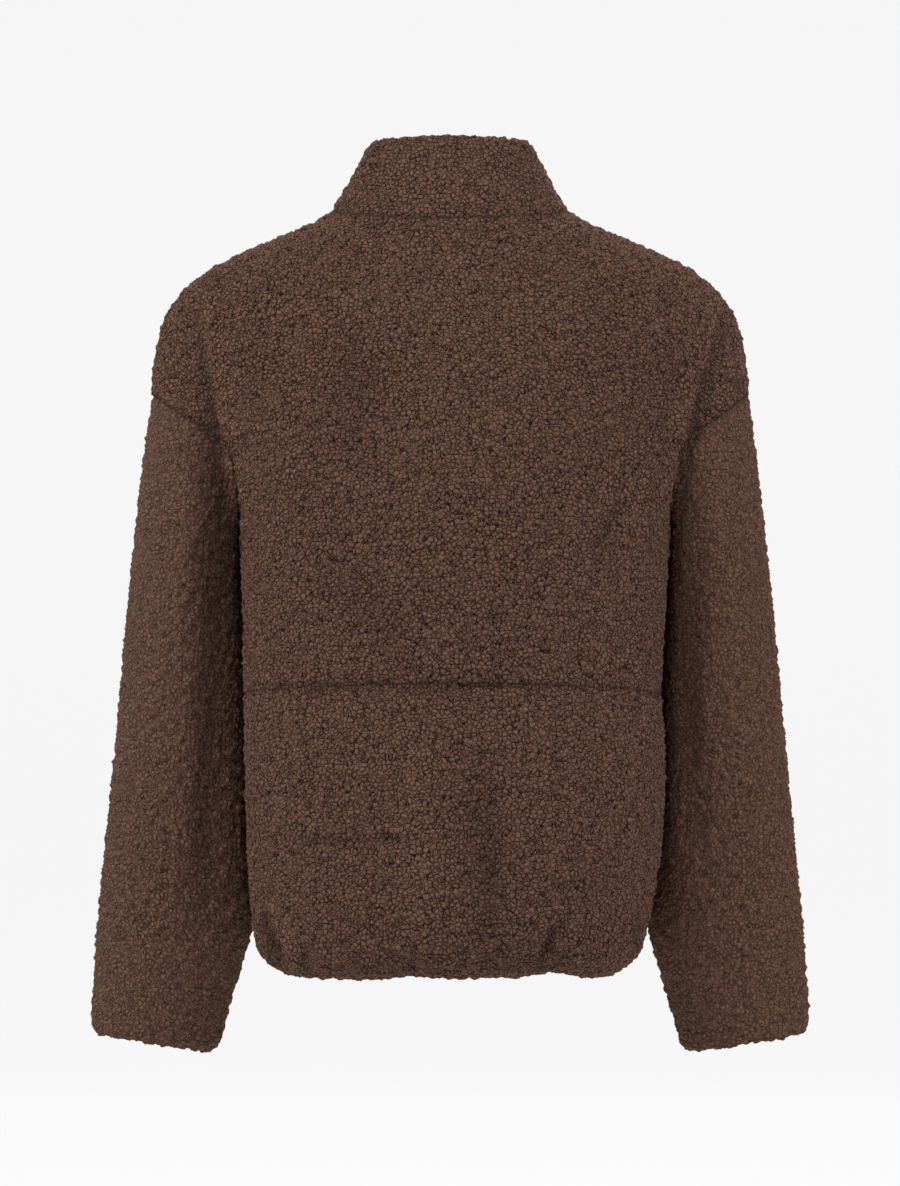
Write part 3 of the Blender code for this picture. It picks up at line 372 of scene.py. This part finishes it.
def merged_copy(name):
    """A copy of a solid's mesh with its points merged and its pairs of triangles joined."""
    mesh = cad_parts[name].data.copy()
    mesh.name = name + "_cloth"
    piece = new_object(mesh.name, mesh)
    only(piece)
    bpy.ops.object.mode_set(mode="EDIT")
    bpy.ops.mesh.select_all(action="SELECT")
    bpy.ops.mesh.customdata_custom_splitnormals_clear()
    bpy.ops.mesh.remove_doubles(threshold=MERGE)
    bpy.ops.mesh.tris_convert_to_quads(
        face_threshold=FLAT_ENOUGH, shape_threshold=SQUARE_ENOUGH, topology_influence=1.5
    )
    bpy.ops.mesh.mark_sharp(clear=True)
    bpy.ops.object.mode_set(mode="OBJECT")
    mesh.shade_smooth()
    return piece


def tree_of(pieces, but):
    """The surfaces of all cloth pieces but one, to measure distances to."""
    made = bmesh.new()
    for name, piece in pieces.items():
        if name != but:
            made.from_mesh(piece.data)
    tree = BVHTree.FromBMesh(made)
    made.free()
    return tree


def close_seams(pieces):
    """Brings the pieces' sewn edges together. Gives the numbers of the points along them."""
    halfway = {}
    for name, piece in pieces.items():
        others = tree_of(pieces, name)
        halfway[name] = {}
        for point in piece.data.vertices:
            near, _, _, _ = others.find_nearest(point.co, SAME_SEAM)
            if near is not None:
                halfway[name][point.index] = point.co.lerp(near, 0.5)
    for name, piece in pieces.items():
        for index, place in halfway[name].items():
            piece.data.vertices[index].co = place
    return {name: set(places) for name, places in halfway.items()}


PILE, BACKING, SEWN_EDGE = range(3)


def mark_sides(name, piece, sewn):
    """Gives each face its slot: pile, backing, or the edge that is sewn to another piece."""
    outer = outer_side(piece.data)
    for face in piece.data.polygons:
        if sewn.issuperset(face.vertices):
            face.material_index = SEWN_EDGE
        elif face.index in outer or turned_in(name, face.center):
            face.material_index = PILE
        else:
            face.material_index = BACKING


def seam_points(pieces, sewn):
    """Points about 1 mm apart along every sewn edge, in a tree that finds the nearest one."""
    points = []
    for name, piece in pieces.items():
        for edge in piece.data.edges:
            if sewn[name].issuperset(edge.vertices):
                a, b = (piece.data.vertices[i].co for i in edge.vertices)
                steps = max(1, round((b - a).length / MM))
                points += [a.lerp(b, k / steps) for k in range(steps + 1)]
    tree = KDTree(len(points))
    for i, point in enumerate(points):
        tree.insert(point, i)
    tree.balance()
    return tree


def crease_rims(piece, sewn):
    """Keeps the sewn edges sharp while the piece is smoothed, so that no gap opens at a seam."""
    creases = piece.data.attributes.new("crease_edge", "FLOAT", "EDGE")
    for edge in piece.data.edges:
        if sewn.issuperset(edge.vertices):
            creases.data[edge.index].value = 1.0


def apply_modifier(piece, kind, **settings):
    """Gives a piece a modifier with these settings, and makes its result the mesh."""
    only(piece)
    modifier = piece.modifiers.new(kind.lower(), kind)
    for name, value in settings.items():
        setattr(modifier, name, value)
    bpy.ops.object.modifier_apply(modifier=modifier.name)


def cut_finer(piece):
    """Halves the long edges of the faces with pile, until none is longer than it should be."""
    mesh = piece.data
    for _ in range(CUT_ROUNDS):
        made = bmesh.new()
        made.from_mesh(mesh)
        edges = [
            edge
            for edge in made.edges
            if edge.calc_length() > LONGEST_EDGE
            and any(face.material_index == PILE for face in edge.link_faces)
        ]
        bmesh.ops.subdivide_edges(
            made, edges=edges, cuts=1, use_grid_fill=True, quad_corner_type="STRAIGHT_CUT"
        )
        made.to_mesh(mesh)
        made.free()
        if not edges:
            break


def read(rows, name, kind=float, each=1):
    """One property of all rows of a mesh, with this many numbers for each row."""
    values = np.empty(len(rows) * each, dtype=kind)
    rows.foreach_get(name, values)
    return values if each == 1 else values.reshape(-1, each)


def store(mesh, name, values):
    """Keeps a number for each point, for the curls and the materials."""
    mesh.attributes.new(name, "FLOAT", "POINT").data.foreach_set("value", values)


def smooth_step(t):
    """From 0 to 1 as t does, with a soft start and end."""
    t = np.clip(t, 0, 1)
    return t * t * (3 - 2 * t)


def pile_weight(mesh):
    """1 at each point where only faces with pile meet, else 0."""
    weight = np.ones(len(mesh.vertices))
    slots = read(mesh.polygons, "material_index", int)
    corners = read(mesh.loops, "vertex_index", int)
    counts = read(mesh.polygons, "loop_total", int)
    weight[corners[np.repeat(slots, counts) != PILE]] = 0
    return weight


def line_distance(points, line):
    """How far points are from a line, and how far along it, 0 to 1, its nearest place is."""
    corners = np.array(line, dtype=float)
    steps = np.linalg.norm(np.diff(corners, axis=0), axis=1)
    start = np.concatenate(([0], np.cumsum(steps)))
    best = np.full(len(points), np.inf)
    along = np.zeros(len(points))
    for k, (a, b) in enumerate(zip(corners, corners[1:])):
        share = np.clip((points - a) @ (b - a) / steps[k] ** 2, 0, 1)
        away = np.linalg.norm(points - a - share[:, None] * (b - a), axis=1)
        nearer = away < best
        best[nearer] = away[nearer]
        along[nearer] = ((start[k] + share * steps[k]) / start[-1])[nearer]
    return best, along


def crease_depths(points, normals):
    """How deep the creases press each point in. They fade out towards their ends."""
    depths = np.zeros(len(points))
    for side, half, depth, line in CREASES:
        facing = smooth_step(2 * side * normals[:, 1])
        away, along = line_distance(points[:, (0, 2)], line)
        fade = np.sin(math.pi * along) ** CREASE_FADE
        depths += depth * facing * fade * np.exp(-((away / half) ** 2))
    return depths


def shape_cloth(piece, seams):
    """Presses the seams and creases in, and sets how much pile each point has."""
    mesh = piece.data
    points = read(mesh.vertices, "co", each=3)
    normals = read(mesh.vertex_normals, "vector", each=3)
    away = np.array([seams.find(point)[2] for point in points.tolist()])
    weight = pile_weight(mesh)
    sunk = SEAM_DEPTH * np.exp(-((away / SEAM_HALF) ** 2)) + crease_depths(points, normals)
    sunk = np.minimum(sunk, DEEPEST)
    sunk[weight == 0] = 0
    mesh.vertices.foreach_set("co", (points - normals * sunk[:, None]).ravel())
    store(mesh, "pile", weight * smooth_step(away / SEAM_FLAT))
    # How hollow each point lies, for the pile's painted shade in creases and its painted light on
    # ridges.
    store(mesh, "hollow", np.clip(sunk / DEEPEST, RIDGE_LIGHT, 1))
    mesh.update()


def boucle(name, gap_shade):
    """Boucle fleece: a knitted ground with a curled looped pile of matt polyester and wool.

    The eye gets rounded curls with thin dark gaps between them, and a faint soft sheen. The
    gaps' darkness is painted shade, as strong as the second argument says, 0 to 1."""
    material, tree, shader = new_material(name)
    rest = add_node(tree, "ShaderNodeAttribute", attribute_name="rest").outputs["Vector"]
    distance, opened = curl_gaps(tree, rest)
    dark = add_node(tree, "ShaderNodeMath", {0: opened, 1: gap_shade}, operation="MULTIPLY")
    threads = add_node(
        tree,
        "ShaderNodeTexNoise",
        {
            "Vector": rest,
            "Scale": 1 / (2 * THREAD),
            "Detail": 4.0,
            "Distortion": THREAD_TWIST,
        },
    ).outputs[0]
    relief = add_node(
        tree,
        "ShaderNodeMath",
        {0: threads, 1: THREAD_RELIEF, 2: curl_dome(tree, distance, opened, DOME_REACH)},
        operation="MULTIPLY_ADD",
    )
    # Painted shade: the colour darkens towards each gap between the curls.
    gap_shading = curl_dome(tree, distance, dark.outputs["Value"], GAP_SHADE_REACH)
    # Painted shade: the lower the threads lie in the bump, the darker their colour.
    shade = add_node(
        tree, "ShaderNodeMath", {0: threads, 1: THREAD_TONE, 2: gap_shading}, operation="MULTIPLY_ADD"
    )
    tone = add_node(
        tree,
        "ShaderNodeMapRange",
        {"Value": shade.outputs["Value"], 1: TONE_RANGE[0], 2: TONE_RANGE[1], 3: 0.0, 4: 1.0},
    )
    # Painted shade where the pile is sewn down into a seam's groove.
    pile = add_node(tree, "ShaderNodeAttribute", attribute_name="pile").outputs["Fac"]
    seam_shading = add_node(tree, "ShaderNodeMapRange", {"Value": pile, 3: SEAM_SHADE, 4: 1.0})
    # Painted shade in creases and seams, and painted light on ridges, as a share of the pile's
    # tone.
    hollow = add_node(tree, "ShaderNodeAttribute", attribute_name="hollow").outputs["Fac"]
    in_light = add_node(
        tree, "ShaderNodeMath", {0: hollow, 1: -FOLD_SHADE, 2: 1.0}, operation="MULTIPLY_ADD"
    )
    light = add_node(
        tree,
        "ShaderNodeMath",
        {0: in_light.outputs["Value"], 1: seam_shading.outputs["Result"]},
        operation="MULTIPLY",
    )
    shaded = add_node(
        tree,
        "ShaderNodeMath",
        {0: tone.outputs["Result"], 1: light.outputs["Value"]},
        operation="MULTIPLY",
    )
    ramp = add_node(tree, "ShaderNodeValToRGB", {"Fac": shaded.outputs["Value"]})
    ramp.color_ramp.elements[0].color = linear("0a0503")  # the gaps, dark with painted shade
    ramp.color_ramp.elements[1].color = linear("866353")  # the tips of the loops
    ramp.color_ramp.elements.new(0.5).color = linear("523b30")
    tree.links.new(ramp.outputs["Color"], shader.inputs["Base Color"])
    bump = add_node(
        tree,
        "ShaderNodeBump",
        {"Height": relief.outputs["Value"], "Strength": 1.0, "Distance": PILE_BUMP},
    )
    tree.links.new(bump.outputs["Normal"], shader.inputs["Normal"])
    shader.inputs["Roughness"].default_value = 0.92
    shader.inputs["Specular IOR Level"].default_value = 0.15
    shader.inputs["Sheen Weight"].default_value = 0.1
    shader.inputs["Sheen Roughness"].default_value = 0.5
    shader.inputs["Sheen Tint"].default_value = linear("b0907c")
    return material


def backing():
    """The knitted ground's inner side: fine matt ribs of stitches in the same brown."""
    material, tree, shader = new_material("knitted_backing")
    place = add_node(tree, "ShaderNodeTexCoord").outputs["Object"]
    stitches = add_node(tree, "ShaderNodeTexVoronoi", {"Vector": place, "Scale": 1 / STITCH})
    # Lighter on the raised stitches and darker between them: painted shade.
    ramp = add_node(tree, "ShaderNodeValToRGB", {"Fac": stitches.outputs["Distance"]})
    ramp.color_ramp.elements[0].color = linear("3d2d25")
    ramp.color_ramp.elements[1].color = linear("21160f")
    tree.links.new(ramp.outputs["Color"], shader.inputs["Base Color"])
    bump = add_node(
        tree,
        "ShaderNodeBump",
        {"Height": stitches.outputs["Distance"], "Strength": 0.6, "Distance": STITCH_HEIGHT},
        invert=True,
    )
    tree.links.new(bump.outputs["Normal"], shader.inputs["Normal"])
    shader.inputs["Roughness"].default_value = 0.95
    shader.inputs["Sheen Weight"].default_value = 0.1
    return material


def add_cloth():
    """All pieces of cloth, each in place of its solid."""
    pieces = {name: merged_copy(name) for name in CLOTH}
    sewn = close_seams(pieces)
    seams = seam_points(pieces, sewn)
    piles = {False: boucle("boucle_pile", 1.0), True: boucle("boucle_sleeve_pile", SLEEVE_GAP_SHADE)}
    inside, tree = backing(), curl_tree()
    for name, piece in pieces.items():
        piece.data.materials.clear()
        for material in (piles[name.startswith("sleeve")], inside, inside):
            piece.data.materials.append(material)
        mark_sides(name, piece, sewn[name])
        crease_rims(piece, sewn[name])
        apply_modifier(piece, "SUBSURF", levels=SMOOTHING, render_levels=SMOOTHING)
        cut_finer(piece)
        shape_cloth(piece, seams)
        apply_modifier(piece, "NODES", node_group=tree)
        piece.data.shade_smooth()
        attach(piece, "jacket")
        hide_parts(name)


def zip_metal():
    """Zinc alloy, die cast and plated a dark bronze: dim, slightly uneven reflections."""
    material, tree, shader = new_material("bronze_plated_zinc")
    place = add_node(tree, "ShaderNodeTexCoord").outputs["Object"]
    wear = add_node(tree, "ShaderNodeTexNoise", {"Vector": place, "Scale": 1 / METAL_SPOT})
    dull = add_node(tree, "ShaderNodeMapRange", {"Value": wear.outputs[0], 3: 0.28, 4: 0.46})
    tree.links.new(dull.outputs["Result"], shader.inputs["Roughness"])
    shader.inputs["Base Color"].default_value = linear("5a4a40")
    shader.inputs["Metallic"].default_value = 1.0
    return material


def zip_tape():
    """Polyester tape woven in a herringbone: fine slanting ribs, matt with a faint gleam."""
    material, tree, shader = new_material("woven_polyester_tape")
    place = add_node(tree, "ShaderNodeTexCoord").outputs["Object"]
    # At scale 1 a wave is a twentieth of a full turn long.
    ribs = add_node(
        tree,
        "ShaderNodeTexWave",
        {"Vector": place, "Scale": math.tau / 20 / TAPE_RIB, "Distortion": 0.4},
        bands_direction="DIAGONAL",
    )
    # Lighter on the raised ribs and darker between them: painted shade.
    ramp = add_node(tree, "ShaderNodeValToRGB", {"Fac": ribs.outputs["Fac"]})
    ramp.color_ramp.elements[0].color = linear("1f1511")
    ramp.color_ramp.elements[1].color = linear("3a2a23")
    tree.links.new(ramp.outputs["Color"], shader.inputs["Base Color"])
    bump = add_node(
        tree, "ShaderNodeBump", {"Height": ribs.outputs["Fac"], "Distance": TAPE_RELIEF}
    )
    tree.links.new(bump.outputs["Normal"], shader.inputs["Normal"])
    shader.inputs["Roughness"].default_value = 0.85
    shader.inputs["Specular IOR Level"].default_value = 0.15
    return material


def chain_line():
    """The middle of the zip's chain, from its lower end up: one place for each of the solid
    strip's sections, which have four corners."""
    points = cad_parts["zip_teeth"].data.vertices
    corners = sorted({(round(p.co.z, 5), round(p.co.y, 5), round(p.co.x, 5)) for p in points})
    sections = [corners[k : k + 4] for k in range(0, len(corners), 4)]
    return [
        Vector((0, sum(c[1] for c in four) / 4, sum(c[0] for c in four) / 4)) for four in sections
    ]


def make_tooth():
    """One tooth of the zip: a bevelled bar with its rounded head at the middle of the chain."""
    bpy.ops.object.select_all(action="DESELECT")
    bpy.ops.mesh.primitive_cube_add(size=1)
    tooth = bpy.context.active_object
    bpy.ops.object.mode_set(mode="EDIT")
    bpy.ops.transform.resize(value=(TOOTH_LENGTH, TOOTH_DEPTH, TOOTH_HEIGHT))
    bpy.ops.transform.translate(value=(TOOTH_OUT, 0, 0))
    bpy.ops.mesh.bevel(offset=TOOTH_ROUND, segments=1, affect="EDGES")
    bpy.ops.object.mode_set(mode="OBJECT")
    return tooth


def add_teeth(metal):
    """The closed chain: the teeth of the left and right tapes by turns, in place of the strip."""
    tooth = make_tooth()
    line = chain_line()
    made = bmesh.new()
    left, gone = True, TOOTH_PITCH / 4
    for low, high in zip(line, line[1:]):
        up = (high - low).normalized()
        inward = up.cross(Vector((1, 0, 0)))
        while gone < (high - low).length:
            across = Vector((1 if left else -1, 0, 0))
            deep = inward if left else -inward
            one = tooth.data.copy()
            one.transform(
                Matrix.Translation(low + up * gone)
                @ Matrix((across, deep, up)).transposed().to_4x4()
            )
            made.from_mesh(one)
            bpy.data.meshes.remove(one)
            left, gone = not left, gone + TOOTH_PITCH / 2
        gone -= (high - low).length
    bmesh.ops.recalc_face_normals(made, faces=made.faces)
    mesh = bpy.data.meshes.new("zip_chain")
    made.to_mesh(mesh)
    made.free()
    mesh.materials.append(metal)
    chain = new_object("zip_chain", mesh)
    bpy.data.objects.remove(tooth)
    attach(chain, "jacket")
    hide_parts("zip_teeth")


def add_tapes(woven):
    """The tapes, each with its inner edge held between the teeth."""
    for name in ("zip_tape_left", "zip_tape_right"):
        piece = merged_copy(name)
        bpy.ops.object.shade_smooth_by_angle(angle=SIDE_ANGLE)
        for point in piece.data.vertices:
            if abs(point.co.x) < TAPE_EDGE:
                point.co.x = math.copysign(TAPE_INNER, point.co.x)
        piece.data.materials.clear()
        piece.data.materials.append(woven)
        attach(piece, "jacket")
        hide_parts(name)


def add_zip():
    """The chain and tapes, and the metal for the solids that stay: slider, pull tab and box."""
    metal = zip_metal()
    add_teeth(metal)
    add_tapes(zip_tape())
    for name in ("zip_slider", "zip_pull", "zip_box"):
        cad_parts[name].material_slots[0].material = metal


def pale_paper():
    """Matt coated studio paper off a roll: no gloss, and lit from behind where it stands far
    in front of the wearer."""
    material, tree, shader = new_material("pale_paper")
    place = add_node(tree, "ShaderNodeTexCoord").outputs["Object"]
    far = add_node(
        tree,
        "ShaderNodeMapRange",
        {
            "Value": add_node(tree, "ShaderNodeSeparateXYZ", {"Vector": place}).outputs["Y"],
            1: PAPER_LIT,
            2: PAPER_UNLIT,
            3: 1.0,
            4: 0.0,
        },
        interpolation_type="SMOOTHSTEP",
    ).outputs["Result"]
    ramp = add_node(tree, "ShaderNodeValToRGB", {"Fac": far})
    ramp.color_ramp.elements[0].color = linear("dedede")
    ramp.color_ramp.elements[1].color = linear("606060")
    tree.links.new(ramp.outputs["Color"], shader.inputs["Base Color"])
    glow = add_node(tree, "ShaderNodeMath", {0: far, 1: PAPER_GLOW}, operation="MULTIPLY")
    tree.links.new(glow.outputs["Value"], shader.inputs["Emission Strength"])
    shader.inputs["Emission Color"].default_value = linear("ffffff")
    shader.inputs["Roughness"].default_value = 0.9
    return material


def add_stage():
    """A pale sweep below the jacket and far behind it, as the camera sees it."""
    bend = SWEEP_FAR + SWEEP_BEND
    outline = [(SWEEP_NEAR, FLOOR), (SWEEP_FAR + SWEEP_STRIP, FLOOR), (bend, FLOOR)]
    for k in range(1, SWEEP_STEPS + 1):
        angle = math.pi / 2 * k / SWEEP_STEPS
        rise = SWEEP_BEND * (1 - math.cos(angle))
        outline.append((bend - SWEEP_BEND * math.sin(angle), FLOOR + rise))
    outline.append((SWEEP_FAR, SWEEP_TOP))
    vertices = [(x, y, z) for x in (-SWEEP_HALF, SWEEP_HALF) for y, z in outline]
    count = len(outline)
    faces = [(k, k + 1, count + k + 1, count + k) for k in range(count - 1)]
    mesh = bpy.data.meshes.new("sweep")
    mesh.from_pydata(vertices, [], faces)
    mesh.shade_smooth()
    mesh.materials.append(pale_paper())
    new_object("sweep", mesh)


def add_lamp(name, place, size, power):
    """A square soft box that faces the middle of the jacket."""
    data = bpy.data.lights.new(name, "AREA")
    data.shape = "SQUARE"
    data.size = size
    data.energy = power
    lamp = new_object(name, data)
    lamp.location = place
    aim = Vector((0, 0, CAMERA_HEIGHT)) - lamp.location
    lamp.rotation_euler = aim.to_track_quat("-Z", "Y").to_euler()


def add_light():
    """A soft box above the camera's left, one to each side, one for the front, and a pale room."""
    scene = bpy.context.scene
    scene.view_settings.view_transform = "Standard"
    scene.world = bpy.data.worlds.new("pale_room")
    scene.world.use_nodes = True
    room = scene.world.node_tree.nodes["Background"]
    room.inputs["Color"].default_value = linear("ffffff")
    room.inputs["Strength"].default_value = ROOM_LIGHT
    for lamp in LAMPS:
        add_lamp(*lamp)


def add_camera():
    """The camera, level and straight behind the wearer."""
    data = bpy.data.cameras.new("camera")
    data.sensor_width = SENSOR
    data.lens = SENSOR * CAMERA_DISTANCE / PICTURE_HEIGHT
    camera = new_object("camera", data)
    camera.location = (0, CAMERA_DISTANCE, CAMERA_HEIGHT)
    camera.rotation_euler = (math.radians(90), 0, math.radians(180))
    bpy.context.scene.camera = camera


def main():
    """Builds the jacket and the studio."""
    add_cloth()
    add_zip()
    add_stage()
    add_light()
    add_camera()


main()
